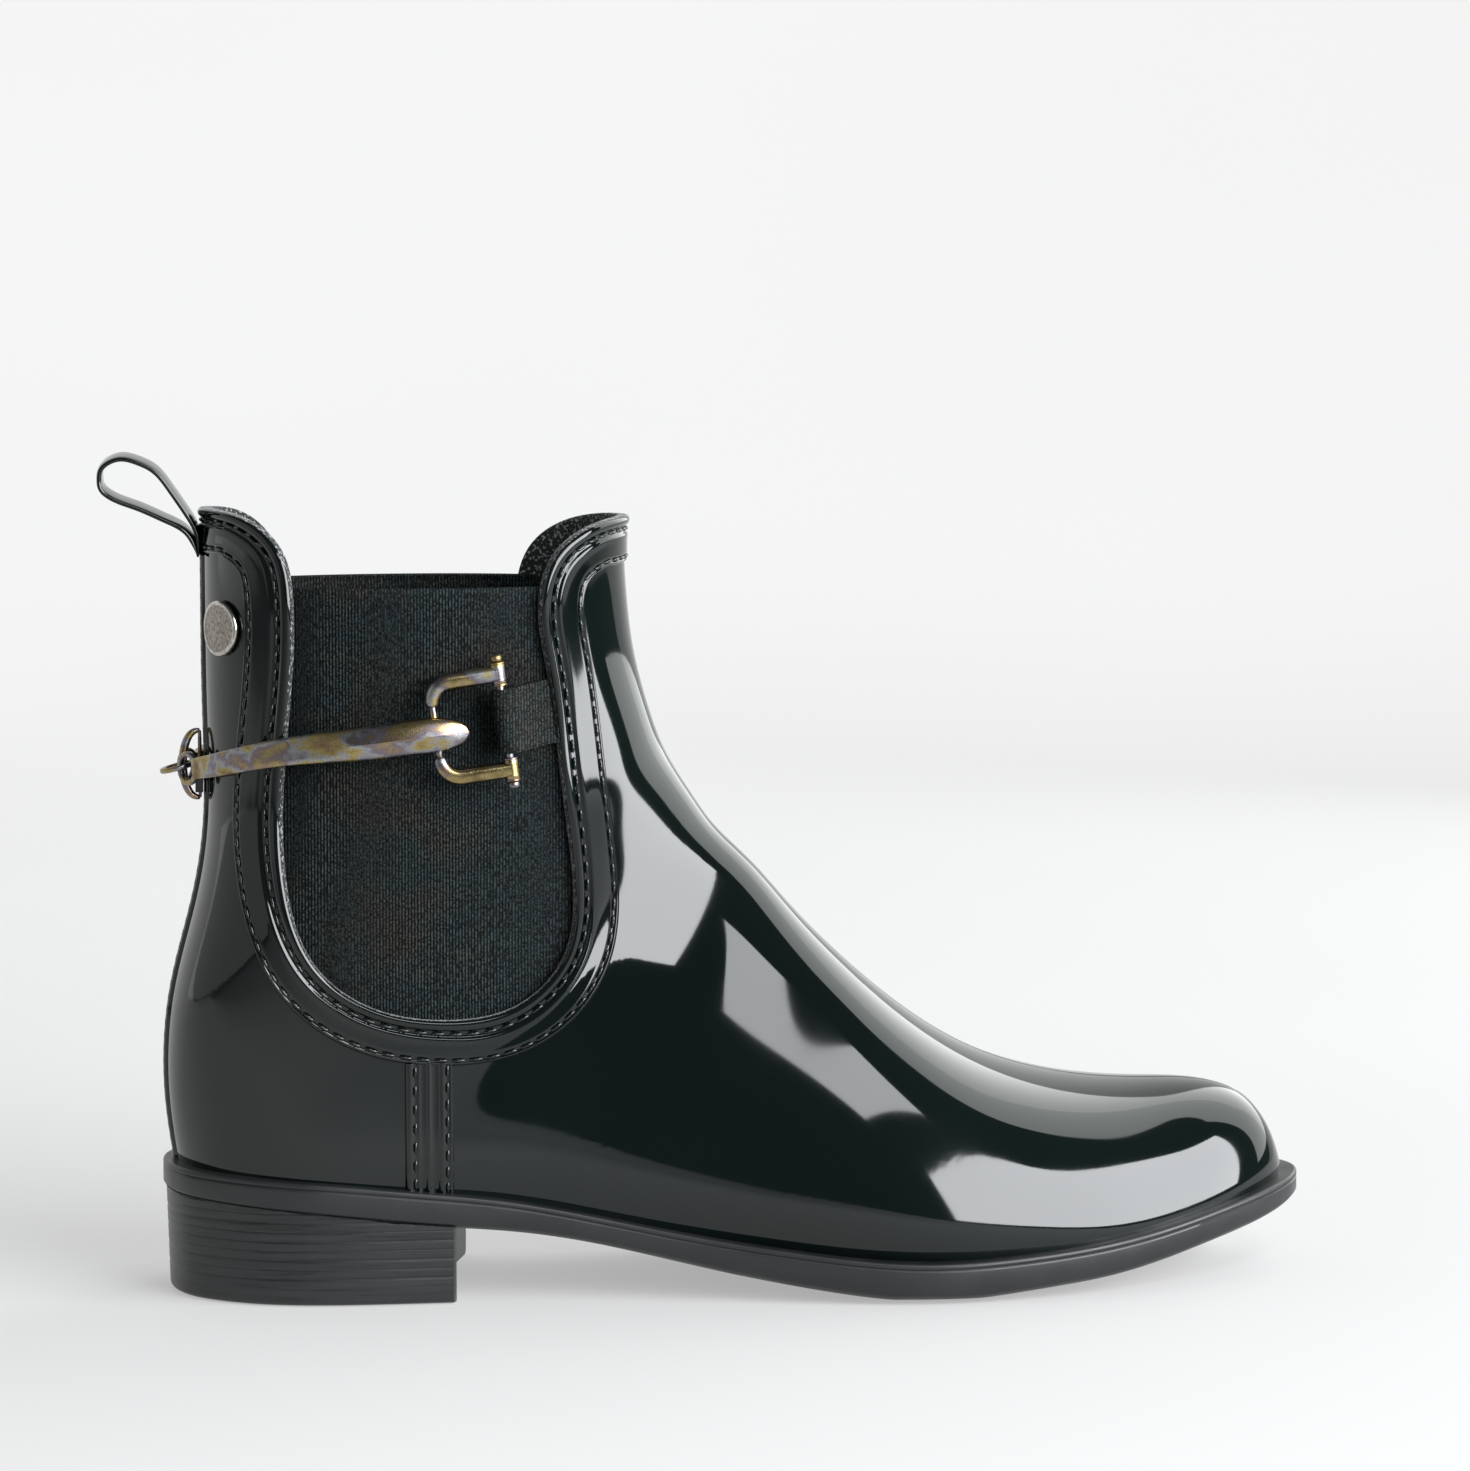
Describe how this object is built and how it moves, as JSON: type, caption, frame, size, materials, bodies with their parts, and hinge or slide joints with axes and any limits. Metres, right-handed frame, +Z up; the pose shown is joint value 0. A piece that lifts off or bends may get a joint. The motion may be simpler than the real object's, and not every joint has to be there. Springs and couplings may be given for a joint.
{
  "type": "chelsea rain boot",
  "caption": "Ankle-high moulded rain boot with elastic side gussets, stacked heel, rear pull loop and a snaffle bit ornament round the shaft.",
  "frame": {"origin": "on the floor under the middle of the heel", "axes": "+X to the toe along the heel-to-toe line, -Y to the outer side of the right foot, +Z up"},
  "size_m": [0.2816, 0.0921, 0.1927],
  "materials": {
    "pvc": "high gloss, moulded black PVC",
    "sole_rubber": "satin black, moulded",
    "lining": "matt black textile",
    "elastic": "matt charcoal, woven in vertical ribs",
    "gilt": "antique light gold plating with tarnish",
    "pewter": "antique pewter"
  },
  "bodies": {
    "root": {"outsole": "sole_rubber", "heel": "sole_rubber", "insole": "lining", "upper": "pvc", "gusset_lateral": "elastic", "gusset_medial": "elastic", "pull_loop": "pvc", "badge": "pewter", "strap_lateral": "elastic", "strap_medial": "elastic", "d_ring_lateral": "gilt", "d_ring_medial": "gilt", "cannon_lateral": "gilt", "cannon_medial": "gilt", "link_ring": "gilt", "keeper_ring": "gilt", "keeper_tab": "pvc"}
  },
  "joints": []
}
